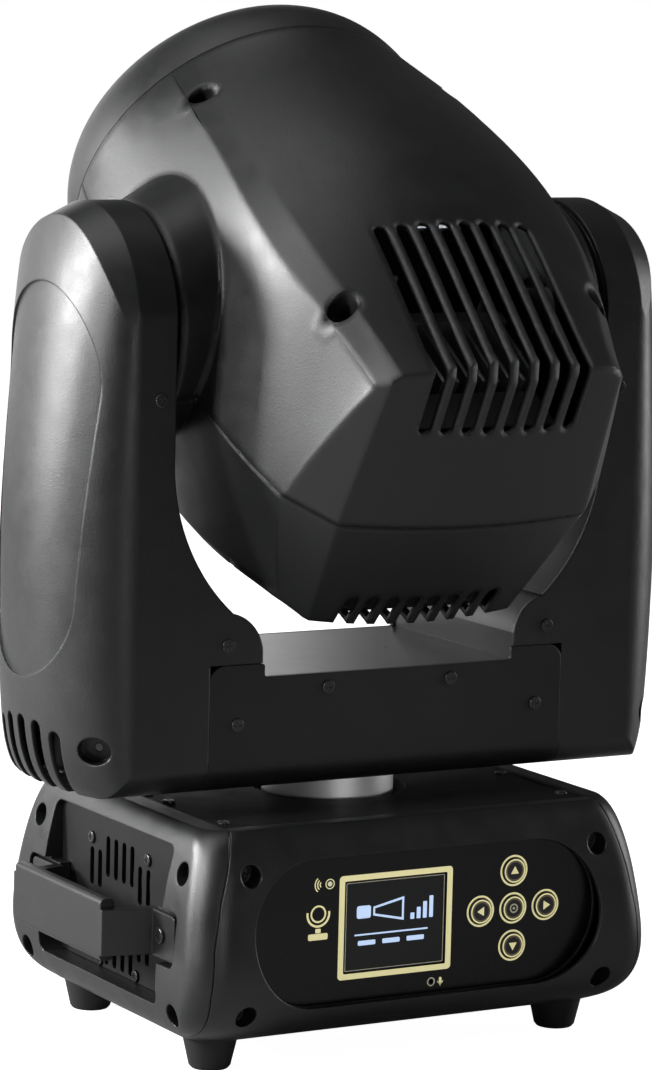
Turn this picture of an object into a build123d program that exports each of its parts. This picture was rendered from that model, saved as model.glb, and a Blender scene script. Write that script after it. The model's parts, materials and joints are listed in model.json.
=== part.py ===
from build123d import *
from math import cos, radians, sin
import os

# Moving head stage light: base, panning yoke and tilting head.
# Frame: +Z up, +X to the right seen from the display side, the display side
# faces -Y.  The origin is on the floor, on the pan axis.  Millimetres.
os.makedirs("parts", exist_ok=True)

# ---------------------------------------------------------------- driving sizes
WALL = 2.6                 # moulded wall
FLOOR_Z = 17.0             # underside of the base, on its feet
BASE_TOP_Z = 122.5         # upper face of the base
TILT_Z = 363.0             # height of the tilt axis
TILT_REST = 55.0           # rest tilt of the head, degrees from straight up
FEET_X, FEET_Y = 101.2, 66.0

# base body: height, half width and half depth of the outer skin
BASE_LEVELS = [
    (FLOOR_Z, 118.0, 84.0), (23.0, 126.0, 96.0), (34.0, 131.0, 105.5), (50.0, 132.0, 110.0),
    (70.0, 130.5, 108.6), (91.0, 127.5, 105.0), (108.0, 123.5, 100.8), (117.0, 120.5, 96.5),
    (BASE_TOP_Z + 0.7, 116.0, 91.0),
]
BASE_CORNER = 17.0
JOINT_LINE = [(103.0, 130.0), (108.5, 117.0), (117.0, 91.0), (121.7, 68.0), (123.4, 45.0), (122.0, 10.0)]

PANEL_Y = -99.6            # face of the control panel
PANEL_Z = 71.0
PANEL_HALF = 100.0
PANEL_TALL = 73.6
SCREEN_X, SCREEN_Z = -16.3, 71.6
SCREEN_W, SCREEN_H = 58.3, 46.1
KEY_X, KEY_Z, KEY_PITCH = 52.3, 73.0, 19.2
KEY_R = 6.6
KEY_TRAVEL = 0.8
MIC_X, MIC_Z = 5.2, 39.6

COLLAR_R = 34.0            # pan shaft
COLLAR_BORE = 24.0
TOP_HOLE_R = 40.5
PAN_PULLEY_R, MOTOR_PULLEY_R = 50.0, 10.0
PAN_MOTOR_X, PAN_MOTOR_Y = -84.0, 0.0
PAN_BELT_Z, BELT_W = 93.0, 8.0
MOTOR_SIDE = 42.0

RECESS_HALF_Y, RECESS_Z0, RECESS_Z1 = 65.5, 33.5, 112.5
VENT_X = 119.0
HANDLE_Z = 68.5

YOKE_Z = 135.0             # underside of the crossbar
CROSSBAR_Z = 192.4         # upper face of the crossbar
YOKE_HALF_Y = 60.4
YOKE_EDGE_R = 14.0         # rounded lower edges, front and rear
ARM_R = 61.0               # top of the arm, about the tilt axis
ARM_IN_X = 124.0           # inner face of the arm beside the head
ARM_MID_X = 143.0          # where the flat face turns into the outer curve
SHEET = 3.0
PLATE_X = 102.0
PLATE_TOP_Z = 199.0
NOTCH_X = 71.7
# outer skin of the arm: height and half width at its apex
ARM_LEVELS = [
    (YOKE_Z, 162.5), (139.0, 167.0), (144.0, 170.0), (154.0, 173.4), (168.0, 175.6), (200.0, 178.0), (245.0, 179.2),
    (290.0, 177.7), (330.0, 174.2), (370.0, 169.5), (395.0, 165.0), (425.0, 157.0),
]
TILT_MOTOR_Z = 187.0
TILT_PULLEY_R = 36.0
TILT_BELT_X = 150.0
BEARING_R, TRUNNION_R = 22.0, 14.0
BOSS_R, BOSS_END_X = 60.0, 121.0

LENS_A = 128.0             # front lens, along the optical axis
BEZEL_A, BEZEL_R = 112.0, 101.0
WHEEL_U = -44.0            # wheel shafts sit below the optical axis
WHEEL_R = 56.0


def save(shape, name):
    shape.label = name
    export_step(shape, f"parts/{name}.step")


def screw_solids(places, head_r, head_h, shank_r, shank_l):
    """Pan-head cross-recess screws, one separate solid for each plane in places."""
    solids = []
    for place in places:
        with BuildPart(place) as one:
            Cylinder(head_r, head_h, align=(Align.CENTER, Align.CENTER, Align.MIN))
            fillet(one.edges().sort_by(Axis((0, 0, 0), place.z_dir))[-1], head_h * 0.45)
            with Locations((0, 0, head_h)):
                Box(head_r * 1.1, head_r * 0.24, head_h * 0.9, mode=Mode.SUBTRACT)
                Box(head_r * 0.24, head_r * 1.1, head_h * 0.9, mode=Mode.SUBTRACT)
            Cylinder(shank_r, shank_l, align=(Align.CENTER, Align.CENTER, Align.MAX))
        solids.append(one.part.solid())
    return solids


# ================================================================= BASE
def base_body(inset, top, bottom=FLOOR_Z):
    """The outer form of the base, or the same form drawn in by a wall."""
    with BuildPart() as body:
        for z, half_x, half_y in BASE_LEVELS:
            with BuildSketch(Plane.XY.offset(z)):
                RectangleRounded(2 * (half_x - inset), 2 * (half_y - inset), BASE_CORNER - inset)
        loft()
        with BuildSketch(Plane.XY.offset(bottom)):
            Rectangle(400, 400)
        extrude(amount=top - bottom, mode=Mode.INTERSECT)
    return body.part


def middle_zone(gap):
    """The space between the two cap joint lines, as a prism along Y."""
    with BuildPart() as zone:
        with BuildSketch(Plane.XZ.offset(-150)):
            with BuildLine():
                right = Polyline([(x - gap, z) for x, z in JOINT_LINE])
                left = Polyline([(-x + gap, z) for x, z in JOINT_LINE])
                Line(right @ 0, left @ 0)
                Line(right @ 1, left @ 1)
            make_face()
        extrude(amount=300)
    return zone.part


base_skin = base_body(0, BASE_TOP_Z + 0.7)
base_space = base_body(WALL, BASE_TOP_Z + 0.7)
RIM_X, RIM_Y = 105.0, 84.0         # opening for the top plate

with BuildPart() as base_walls:
    add(base_skin)
    add(base_space, mode=Mode.SUBTRACT)
    with BuildSketch(Plane.XY.offset(BASE_TOP_Z - 3.0)):
        Rectangle(2 * 117, 2 * 92)
        Rectangle(2 * RIM_X, 2 * RIM_Y, mode=Mode.SUBTRACT)
    extrude(amount=3.7)
    add(base_skin, mode=Mode.INTERSECT)

screw_wells = [(x * sx, z) for sx in (-1, 1) for x, z in ((100.0, 102.7), (102.7, 33.9))]



def across(y):
    """A drawing plane square to Y, with X to the right and Z up, at the given y."""
    return Plane.XZ.offset(-y)


def drill(solid, places, radius, depth, start=1.0):
    """Take round holes out of a solid, one down the axis of each place."""
    with BuildPart() as drilled:
        add(solid)
        for place in places:
            with BuildSketch(place.offset(start)):
                Circle(radius)
            extrude(amount=-(depth + start), mode=Mode.SUBTRACT)
    return drilled.part


# ---- front and rear covers, each with a flat stadium recess
for name, side, half_w in (("front_cover", -1, PANEL_HALF), ("rear_cover", 1, 86.0)):
    face_y = side * abs(PANEL_Y)
    inward = side
    with BuildPart() as cover:
        add(base_walls.part)
        add(middle_zone(0.25), mode=Mode.INTERSECT)
        with BuildSketch(Plane.XY.offset(FLOOR_Z)):
            with Locations((0, side * 100.2)):
                Rectangle(300, 200)
        extrude(amount=120, mode=Mode.INTERSECT)
        with BuildSketch(across(face_y)):
            with Locations((0, PANEL_Z)):
                SlotOverall(2 * half_w + 4, PANEL_TALL + 4)
        extrude(amount=inward * 4.6)
        with BuildSketch(across(face_y)):
            with Locations((0, PANEL_Z)):
                SlotOverall(2 * half_w, PANEL_TALL)
        extrude(amount=-inward * 30, mode=Mode.SUBTRACT)
        with BuildSketch(across(face_y)):
            with Locations((0, PANEL_Z)):
                SlotOverall(2 * half_w, PANEL_TALL)
        extrude(amount=inward * 1.6, mode=Mode.SUBTRACT)
        with BuildSketch(across(face_y)):
            with Locations((0, PANEL_Z)):
                SlotOverall(2 * half_w - 6, PANEL_TALL - 6)
        extrude(amount=inward * 5, mode=Mode.SUBTRACT)
        with BuildSketch(across(side * 108)):
            with Locations(screw_wells):
                Circle(7.6)
        extrude(amount=inward * 19)
        add(base_skin, mode=Mode.INTERSECT)
        with BuildSketch(across(side * 120)):
            with Locations(screw_wells):
                Circle(5.6)
        extrude(amount=inward * 28, mode=Mode.SUBTRACT)
        with BuildSketch(across(side * 120)):
            with Locations(screw_wells):
                Circle(1.9)
        extrude(amount=inward * 40, mode=Mode.SUBTRACT)
    save(cover.part, name)

# ---- side caps: recess frame, screw wells, seats for the handle tabs
CAP_WELLS = [(79.0 * sy, 101.5) for sy in (-1, 1)] + [(81.0 * sy, 32.0) for sy in (-1, 1)]
TAB_Y0, TAB_Y1, TAB_SCREW_Y = 54.0, 79.0, 65.0
RECESS_MID_Z = (RECESS_Z0 + RECESS_Z1) / 2
RECESS_TALL = RECESS_Z1 - RECESS_Z0


def lengthwise(x):
    """A drawing plane square to X, with Y to the right and Z up, at the given x."""
    return Plane.YZ.offset(x)


def recess_outline(grow):
    with Locations((0, RECESS_MID_Z)):
        RectangleRounded(2 * (RECESS_HALF_Y + grow), RECESS_TALL + 2 * grow, 5.0 + grow)


for name, side in (("side_cap_left", -1), ("side_cap_right", 1)):
    with BuildPart() as cap:
        add(base_walls.part)
        add(middle_zone(-0.25), mode=Mode.SUBTRACT)
        with BuildSketch(lengthwise(0)):
            Rectangle(400, 400)
        extrude(amount=side * 200, mode=Mode.INTERSECT)
        with BuildSketch(lengthwise(side * 114)):
            recess_outline(2.4)
        extrude(amount=side * 30)
        with BuildSketch(lengthwise(side * 116)):
            with Locations(*[(y, z) for y, z in CAP_WELLS]):
                Circle(8.2)
            with Locations(*[(67.5 * s, HANDLE_Z) for s in (-1, 1)]):
                Rectangle(31, 31)
        extrude(amount=side * 30)
        with BuildSketch(lengthwise(side * 112)):
            recess_outline(0)
        extrude(amount=side * 40, mode=Mode.SUBTRACT)
        with BuildSketch(lengthwise(side * 119.3)):
            with Locations(*[(64.0 * s, HANDLE_Z) for s in (-1, 1)]):
                Rectangle(18, 24)
        extrude(amount=side * 6.1)
        add(base_skin, mode=Mode.INTERSECT)
        with BuildSketch(lengthwise(side * 125.4)):
            with Locations(*[(67.5 * s, HANDLE_Z) for s in (-1, 1)]):
                RectangleRounded(29, 27, 4)
        extrude(amount=side * 30, mode=Mode.SUBTRACT)
        with BuildSketch(lengthwise(side * 140)):
            with Locations(*[(y, z) for y, z in CAP_WELLS]):
                Circle(5.8)
        extrude(amount=-side * 21, mode=Mode.SUBTRACT)
        with BuildSketch(lengthwise(side * 140)):
            with Locations(*[(y, z) for y, z in CAP_WELLS]):
                Circle(1.9)
            with Locations(*[(TAB_SCREW_Y * s, HANDLE_Z) for s in (-1, 1)]):
                Circle(2.1)
        extrude(amount=-side * 40, mode=Mode.SUBTRACT)
    save(cap.part, name)

# ---- louvred plates at the bottom of the side recesses
VENT_SCREWS = [(31.0, 98.4), (-31.0, 98.4), (20.0, 37.0), (-20.0, 37.0)]
INNER_SLOTS = [4.45, 13.35]
OUTER_SLOTS = [22.25, 31.15]
for name, side in (("vent_plate_left", -1), ("vent_plate_right", 1)):
    with BuildPart() as vent:
        with BuildSketch(lengthwise(side * (VENT_X - 2))):
            recess_outline(-0.25)
            for s in (-1, 1):
                with Locations(*[(y * s, z) for y in INNER_SLOTS for z in (91.4, 46.0)]):
                    SlotOverall(21.2, 4.4, 90, mode=Mode.SUBTRACT)
                with Locations(*[(y * s, z) for y in OUTER_SLOTS for z in (83.5, 54.5)]):
                    SlotOverall(19.8, 4.4, 90, mode=Mode.SUBTRACT)
            with Locations(*VENT_SCREWS):
                Circle(1.7, mode=Mode.SUBTRACT)
        extrude(amount=side * 2)
    save(vent.part, name)

# ---- carry handles: a wide grip standing off, with a narrower tab at each end
GRIP_OUT, GRIP_IN, GRIP_HALF = 154.0, 146.5, 50.0
for name, side in (("carry_handle_left", -1), ("carry_handle_right", 1)):
    with BuildPart() as handle:
        with BuildSketch(Plane.XY.offset(HANDLE_Z - 11.5)):
            with BuildLine():
                Polyline(
                    (side * 125.6, -TAB_Y1), (side * 129.2, -TAB_Y1), (side * 129.2, -TAB_Y0 - 2),
                    (side * GRIP_OUT, -GRIP_HALF), (side * GRIP_OUT, GRIP_HALF),
                    (side * 129.2, TAB_Y0 + 2), (side * 129.2, TAB_Y1), (side * 125.6, TAB_Y1),
                    (side * 125.6, TAB_Y0 - 4), (side * GRIP_IN, GRIP_HALF - 6),
                    (side * GRIP_IN, -GRIP_HALF + 6), (side * 125.6, -TAB_Y0 + 4), close=True,
                )
            make_face()
        extrude(amount=23)
        with BuildSketch(Plane.XY.offset(HANDLE_Z - 14.5)):
            with Locations((side * (GRIP_OUT + GRIP_IN) / 2, 0)):
                Rectangle(GRIP_OUT - GRIP_IN, 2 * GRIP_HALF - 4)
        extrude(amount=31)
        grip_edges = handle.edges().filter_by(Axis.Y).filter_by(lambda e: e.length > 80)
        fillet(grip_edges, 2.4)
        fillet(handle.edges().filter_by(Axis.X).filter_by(lambda e: abs(e.center().Y) > TAB_Y1 - 1), 3)
        with BuildSketch(lengthwise(side * 160)):
            with Locations(*[(TAB_SCREW_Y * s, HANDLE_Z) for s in (-1, 1)]):
                Circle(2.1)
        extrude(amount=-side * 40, mode=Mode.SUBTRACT)
    save(handle.part, name)

# ---- flat plates, feet
with BuildPart() as top_plate:
    with BuildSketch(Plane.XY.offset(BASE_TOP_Z - 5.8)):
        RectangleRounded(2 * (RIM_X + 3.5), 2 * (RIM_Y + 2.5), 6)
        Circle(TOP_HOLE_R, mode=Mode.SUBTRACT)
    extrude(amount=2.6)
    with BuildSketch(Plane.XY.offset(BASE_TOP_Z - 3.2)):
        Rectangle(2 * RIM_X - 0.6, 2 * RIM_Y - 0.6)
        Circle(TOP_HOLE_R, mode=Mode.SUBTRACT)
    extrude(amount=3.2)
TOP_SCREWS = [Plane.XY.offset(BASE_TOP_Z).shift_origin((x, y, BASE_TOP_Z))
              for x in (-98.4, 98.4) for y in (-70.0, -12.0, 12.0, 70.0)]
top_plate_drilled = drill(top_plate.part, TOP_SCREWS, 1.7, 12)
save(top_plate_drilled, "base_top_plate")
save(Compound(children=screw_solids(TOP_SCREWS, 3.2, 1.3, 1.6, 8)), "top_plate_screws")

BRACKET_X, BRACKET_Y, BRACKET_R = 106.0, 60.0, 5.0
with BuildPart() as base_plate:
    with BuildSketch(Plane.XY.offset(FLOOR_Z + 1.5)):
        RectangleRounded(2 * 116.5, 2 * 83.5, 12)
        with GridLocations(BRACKET_X, BRACKET_Y, 2, 2):
            Circle(BRACKET_R, mode=Mode.SUBTRACT)
        with GridLocations(2 * FEET_X, 2 * FEET_Y, 2, 2):
            Circle(3.1, mode=Mode.SUBTRACT)
    extrude(amount=2.0)
save(base_plate.part, "base_plate")

feet = []
for x in (-FEET_X, FEET_X):
    for y in (-FEET_Y, FEET_Y):
        with BuildPart() as foot:
            with BuildSketch(Plane.XZ.offset(-y)):
                with BuildLine():
                    Polyline((x, 0), (x + 9.3, 0), (x + 10.5, 1.4), (x + 14.4, FLOOR_Z + 1.4),
                             (x + 3.0, FLOOR_Z + 1.4), (x + 3.0, FLOOR_Z + 5.5), (x, FLOOR_Z + 5.5), close=True)
                make_face()
            revolve(axis=Axis((x, y, 0), (0, 0, 1)))
        feet.append(foot.part.solid())
save(Compound(children=feet), "rubber_feet")

case_screw_places = []
for side in (-1, 1):
    for x, z in screw_wells:
        case_screw_places.append(Plane(origin=(x, side * 92.0, z), z_dir=(0, side, 0)))
    for y, z in CAP_WELLS:
        case_screw_places.append(Plane(origin=(side * 119.0, y, z), z_dir=(side, 0, 0)))
save(Compound(children=screw_solids(case_screw_places, 3.6, 1.8, 1.8, 7)), "case_screws")
handle_screw_places = [Plane(origin=(side * 129.2, TAB_SCREW_Y * s, HANDLE_Z), z_dir=(side, 0, 0))
                       for side in (-1, 1) for s in (-1, 1)]
save(Compound(children=screw_solids(handle_screw_places, 4.2, 1.8, 2.0, 9)), "handle_screws")
vent_screw_places = [Plane(origin=(side * VENT_X, y, z), z_dir=(side, 0, 0))
                     for side in (-1, 1) for y, z in VENT_SCREWS]
save(Compound(children=screw_solids(vent_screw_places, 3.2, 1.4, 1.6, 5)), "vent_plate_screws")

# ---- control panel, display, keys, board
KEYS = {"key_centre": (0, 0), "key_up": (0, 1), "key_down": (0, -1), "key_left": (-1, 0), "key_right": (1, 0)}
key_places = {n: (KEY_X + i * KEY_PITCH, KEY_Z + j * KEY_PITCH) for n, (i, j) in KEYS.items()}
with BuildPart() as panel:
    with BuildSketch(across(PANEL_Y + 0.1)):
        with Locations((0, PANEL_Z)):
            SlotOverall(2 * PANEL_HALF - 0.6, PANEL_TALL - 0.6)
        with Locations((SCREEN_X, SCREEN_Z)):
            RectangleRounded(SCREEN_W, SCREEN_H, 1.2, mode=Mode.SUBTRACT)
        with Locations(*key_places.values()):
            Circle(KEY_R + 0.3, mode=Mode.SUBTRACT)
        with Locations((MIC_X, MIC_Z)):
            Circle(1.0, mode=Mode.SUBTRACT)
    extrude(amount=-1.5)
save(panel.part, "control_panel")

for name, (x, z) in key_places.items():
    with BuildPart() as key:
        with BuildSketch(across(PANEL_Y - 0.9)):
            with Locations((x, z)):
                Circle(KEY_R)
        extrude(amount=-3.0)
        fillet(key.edges().group_by(Axis.Y)[0], 0.5)
        with BuildSketch(across(PANEL_Y + 2.0)):
            with Locations((x, z)):
                Circle(KEY_R + 1.0)
        extrude(amount=-1.0)
        with BuildSketch(across(PANEL_Y + 3.0)):
            with Locations((x, z)):
                Circle(2.0)
        extrude(amount=-5.2)
    save(key.part, name)

with BuildPart() as display:
    with BuildSketch(across(PANEL_Y + 0.7)):
        with Locations((SCREEN_X, SCREEN_Z)):
            RectangleRounded(SCREEN_W - 0.3, SCREEN_H - 0.3, 1.1)
    extrude(amount=-0.9)
    with BuildSketch(across(PANEL_Y + 1.6)):
        with Locations((SCREEN_X, SCREEN_Z)):
            Rectangle(SCREEN_W + 9, SCREEN_H + 8)
    extrude(amount=-4.4)
save(display.part, "display_module")

BOARD_Y = PANEL_Y + 11.6
with BuildPart() as board:
    with BuildSketch(across(BOARD_Y)):
        with Locations((20.0, PANEL_Z)):
            RectangleRounded(150, 64, 2)
    extrude(amount=-1.6)
    with BuildSketch(across(BOARD_Y)):
        with Locations(*key_places.values()):
            Rectangle(6, 6)
    extrude(amount=2.4)
    with BuildSketch(across(BOARD_Y + 1.6)):
        with Locations((-30, 60), (-30, 84), (70, 50)):
            Rectangle(24, 12)
    extrude(amount=-5)
save(board.part, "control_board")

# ---- rear connectors
CONNECTOR_Y = 98.0
INLET = (-56.0, 71.0)
SOCKETS = [(14.0, 71.0), (50.0, 71.0)]
with BuildPart() as connector_plate:
    with BuildSketch(across(CONNECTOR_Y)):
        with Locations((0, PANEL_Z)):
            SlotOverall(2 * 86 - 0.6, PANEL_TALL - 0.6)
        with Locations(INLET):
            Rectangle(28.2, 48.2, mode=Mode.SUBTRACT)
        with Locations(*SOCKETS):
            Circle(12.1, mode=Mode.SUBTRACT)
    extrude(amount=-1.5)
save(connector_plate.part, "connector_plate")

with BuildPart() as inlet:
    with BuildSketch(across(CONNECTOR_Y - 24)):
        with Locations(INLET):
            RectangleRounded(28, 48, 1.5)
    extrude(amount=-25.6)
    with BuildSketch(across(CONNECTOR_Y + 1.55)):
        with Locations(INLET):
            RectangleRounded(34, 54, 3)
    extrude(amount=-2.2)
    with BuildSketch(across(CONNECTOR_Y + 4)):
        with Locations((INLET[0], INLET[1] + 9)):
            RectangleRounded(24.5, 17.5, 4)
    extrude(amount=18, mode=Mode.SUBTRACT)
    with BuildSketch(across(CONNECTOR_Y - 15)):
        with Locations(*[(INLET[0] + dx, INLET[1] + 9 + dz) for dx, dz in ((-7, -2), (0, 2), (7, -2))]):
            Rectangle(2.0, 4.0)
    extrude(amount=-13)
    with BuildSketch(across(CONNECTOR_Y + 3.75)):
        with Locations((INLET[0], INLET[1] - 13)):
            RectangleRounded(22, 13, 1.5)
    extrude(amount=-1.0)
save(inlet.part, "power_inlet")

sockets = []
for count, (x, z) in enumerate(SOCKETS):
    with BuildPart() as socket:
        with BuildSketch(across(CONNECTOR_Y - 22)):
            with Locations((x, z)):
                Circle(12.0)
        extrude(amount=-23.6)
        with BuildSketch(across(CONNECTOR_Y + 1.55)):
            with Locations((x, z)):
                RectangleRounded(26, 31, 2)
        extrude(amount=-1.8)
        with BuildSketch(across(CONNECTOR_Y + 4)):
            with Locations((x, z)):
                Circle(9.4)
        extrude(amount=19, mode=Mode.SUBTRACT)
        with BuildSketch(across(CONNECTOR_Y - 16)):
            with Locations((x, z)):
                with PolarLocations(5.0, 3, 90 + 180 * count):
                    Circle(1.25 if count == 0 else 2.2)
        extrude(amount=-12)
    sockets.append(socket.part.solid())
save(Compound(children=sockets), "data_sockets")

with BuildPart() as supply:
    with BuildSketch(Plane.XY.offset(FLOOR_Z + 3.6)):
        with Locations((68, 0)):
            Rectangle(88, 120)
    extrude(amount=44)
    with BuildSketch(Plane.XY.offset(FLOOR_Z + 47.6)):
        with Locations((68, 0)):
            with GridLocations(12, 14, 6, 7):
                Circle(3.2)
    extrude(amount=-1.2, mode=Mode.SUBTRACT)
save(supply.part, "power_supply")

# ---- pan drive in the base
def belt_between(plane_at, far, r_near, r_far, width):
    """A toothless belt loop round two pulleys, with running room inside."""
    with BuildPart() as belt:
        for grow, mode in ((2.0, Mode.ADD), (0.35, Mode.SUBTRACT)):
            with BuildSketch(plane_at):
                Circle(r_near + grow)
                with Locations(far):
                    Circle(r_far + grow)
                make_hull()
            extrude(amount=width, mode=mode)
    return belt.part


def pulley(place, radius, bore, teeth, width, flange=2.2):
    """A flanged toothed pulley standing along the normal of place."""
    with BuildPart() as wheel:
        with BuildSketch(place):
            Circle(radius + flange)
        extrude(amount=1.4)
        with BuildSketch(place.offset(1.4)):
            Circle(radius)
            with PolarLocations(radius, teeth):
                Circle(0.6, mode=Mode.SUBTRACT)
        extrude(amount=width + 1.2)
        with BuildSketch(place.offset(width + 2.6)):
            Circle(radius + flange)
        extrude(amount=1.4)
        with BuildSketch(place):
            Circle(bore)
        extrude(amount=width + 8, mode=Mode.SUBTRACT)
    return wheel.part


PULLEY_Z = PAN_BELT_Z - BELT_W / 2 - 2.0
motor_centre = (PAN_MOTOR_X, PAN_MOTOR_Y)
save(pulley(Plane.XY.offset(PULLEY_Z), PAN_PULLEY_R, COLLAR_R, 80, BELT_W), "pan_pulley")
save(pulley(Plane(origin=(PAN_MOTOR_X, PAN_MOTOR_Y, PULLEY_Z)), MOTOR_PULLEY_R, 2.55, 16, BELT_W),
     "pan_motor_pulley")
save(belt_between(Plane.XY.offset(PAN_BELT_Z - BELT_W / 2), motor_centre, PAN_PULLEY_R, MOTOR_PULLEY_R, BELT_W),
     "pan_belt")
MOTOR_TOP_Z = 82.0
with BuildPart() as pan_motor:
    with BuildSketch(Plane.XY.offset(MOTOR_TOP_Z - 40)):
        with Locations(motor_centre):
            RectangleRounded(MOTOR_SIDE, MOTOR_SIDE, 4)
    extrude(amount=40)
    chamfer(pan_motor.edges().group_by(Axis.Z)[-1], 0.8)
    with BuildSketch(Plane.XY.offset(MOTOR_TOP_Z)):
        with Locations(motor_centre):
            Circle(11)
    extrude(amount=2)
    with BuildSketch(Plane.XY.offset(MOTOR_TOP_Z)):
        with Locations(motor_centre):
            Circle(2.5)
    extrude(amount=19)
    with BuildSketch(Plane.XY.offset(FLOOR_Z + 3.6)):
        with Locations(motor_centre):
            with GridLocations(31, 31, 2, 2):
                Circle(3)
    extrude(amount=MOTOR_TOP_Z - 40 - FLOOR_Z - 3.6)
save(pan_motor.part, "pan_motor")

with BuildPart() as pan_bearing:
    with BuildSketch(Plane.XY.offset(PULLEY_Z + BELT_W + 5.2)):
        Circle(47)
        Circle(COLLAR_R + 0.05, mode=Mode.SUBTRACT)
    extrude(amount=BASE_TOP_Z - 6.0 - PULLEY_Z - BELT_W - 5.2)
save(pan_bearing.part, "pan_bearing")


# ================================================================= YOKE
LOBE_X = NOTCH_X + 1.3


def arch_line(side, bottom, top):
    """Inner edge of one arm, up its lobe and arch from bottom to top; returns its last point."""
    sweep_arc = CenterArc((side * 24.0, 300.0), 100.0, 0 if side > 0 else 180, -side * 48.7)
    riser = Line((side * LOBE_X, bottom), (side * LOBE_X, 206.0))
    lobe = ThreePointArc(riser @ 1, (side * 78.0, 217.5), sweep_arc @ 1)
    upright = Line(sweep_arc @ 0, (side * ARM_IN_X, top))
    return upright @ 1


def side_profile(half_y, radius, bottom, corner):
    """The arm seen from the side: straight flanks and a round top about the tilt axis."""
    with BuildPart() as prism:
        with BuildSketch(lengthwise(-200)) as outline:
            with Locations((0, (bottom + TILT_Z) / 2)):
                Rectangle(2 * half_y, TILT_Z - bottom)
            fillet(outline.vertices().group_by(Axis.Y)[0], corner)
            with Locations((0, TILT_Z)):
                Circle(radius)
        extrude(amount=400)
    return prism.part


def arm_form(side, inset):
    """Outer form of one arm, flat in front and behind, half an ellipse outside."""
    with BuildPart() as form:
        for z, half_w in ARM_LEVELS:
            half_y = YOKE_HALF_Y - inset
            with BuildSketch(Plane.XY.offset(z)):
                with BuildLine():
                    bow = EllipticalCenterArc((side * ARM_MID_X, 0), half_w - ARM_MID_X - inset, half_y,
                                              -90 if side > 0 else 90, arc_size=180)
                    Polyline(bow @ 1, (side * 60, (bow @ 1).Y), (side * 60, (bow @ 0).Y), bow @ 0)
                make_face()
        loft()
    return form.part


def shoulder_ring(side, inset):
    """What the conical shoulder takes off the round top of the arm."""
    with BuildPart() as ring:
        with BuildSketch(Plane.XY.offset(TILT_Z)):
            with BuildLine():
                Polyline((side * 139.5, ARM_R + 2.3 - inset), (side * 190.0, ARM_R - 20.8 - inset),
                         (side * 190.0, 90.0), (side * 139.5, 90.0), close=True)
            make_face()
        revolve(axis=Axis((0, 0, TILT_Z), (1, 0, 0)), revolution_arc=180)
    return ring.part


def arm_face_region(side):
    """Front outline of one arm cover as a prism along Y."""
    with BuildPart() as region:
        with BuildSketch(across(-100)):
            with BuildLine():
                arm_top = arch_line(side, PLATE_TOP_Z + 0.3, 430.0)
                Polyline(arm_top, (side * 190.0, 430.0), (side * 190.0, 120.0), (side * (PLATE_X + 0.3), 120.0),
                         (side * (PLATE_X + 0.3), PLATE_TOP_Z + 0.3), (side * LOBE_X, PLATE_TOP_Z + 0.3))
            make_face()
        extrude(amount=-200)
    return region.part


FRAME_HALF_Y = YOKE_HALF_Y - 2.5
FRAME_Z = YOKE_Z + 2.4
FRAME_OUT_X = 140.0

# ---- welded box frame: crossbar and both arm cores in one
with BuildPart() as frame:
    with BuildSketch(across(-FRAME_HALF_Y)):
        with BuildLine():
            for side in (-1, 1):
                arm_top = arch_line(side, CROSSBAR_Z, 430.0)
                Polyline(arm_top, (side * FRAME_OUT_X, 430.0), (side * FRAME_OUT_X, FRAME_Z), (0, FRAME_Z))
            Line((-LOBE_X, CROSSBAR_Z), (LOBE_X, CROSSBAR_Z))
        make_face()
        offset(amount=-SHEET, mode=Mode.SUBTRACT)
    extrude(amount=-2 * FRAME_HALF_Y)
    # bearing housings between the two walls of each arm
    for side in (-1, 1):
        with BuildSketch(lengthwise(side * (ARM_IN_X + 0.5))):
            with Locations((0, TILT_Z)):
                Circle(BEARING_R + 5)
        extrude(amount=side * (FRAME_OUT_X - ARM_IN_X - 0.5))
        with BuildSketch(lengthwise(side * (ARM_IN_X - 1))):
            with Locations((0, TILT_Z)):
                Circle(TRUNNION_R + 2.5)
        extrude(amount=side * 30, mode=Mode.SUBTRACT)
        with BuildSketch(lengthwise(side * (ARM_IN_X + SHEET))):
            with Locations((0, TILT_Z)):
                Circle(BEARING_R)
        extrude(amount=side * 30, mode=Mode.SUBTRACT)
    # hub plate under the crossbar that takes the pan shaft
    with BuildSketch(Plane.XY.offset(FRAME_Z)):
        Circle(52)
    extrude(amount=9)
    with BuildSketch(Plane.XY.offset(FRAME_Z - 1)):
        Circle(COLLAR_R)
    extrude(amount=11, mode=Mode.SUBTRACT)
    # shaft hole and face seat of the tilt motor
    with BuildSketch(lengthwise(-FRAME_OUT_X - 1)):
        with Locations((0, TILT_MOTOR_Z)):
            Circle(11.2)
    extrude(amount=SHEET + 2, mode=Mode.SUBTRACT)
    add(side_profile(FRAME_HALF_Y, FRAME_HALF_Y, FRAME_Z, YOKE_EDGE_R - 2.0), mode=Mode.INTERSECT)
save(frame.part, "yoke_frame")

YOKE_SCREWS = [(92.5, 209.0), (86.6, 169.2), (35.5, 185.2), (132.0, 330.9)]
yoke_screw_places = [Plane(origin=(x * sx, sy * YOKE_HALF_Y, z), z_dir=(0, sy, 0))
                     for sy in (-1, 1) for sx in (-1, 1) for x, z in YOKE_SCREWS]
save(Compound(children=screw_solids(yoke_screw_places, 3.5, 1.0, 1.6, 2.4)), "yoke_screws")

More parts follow.
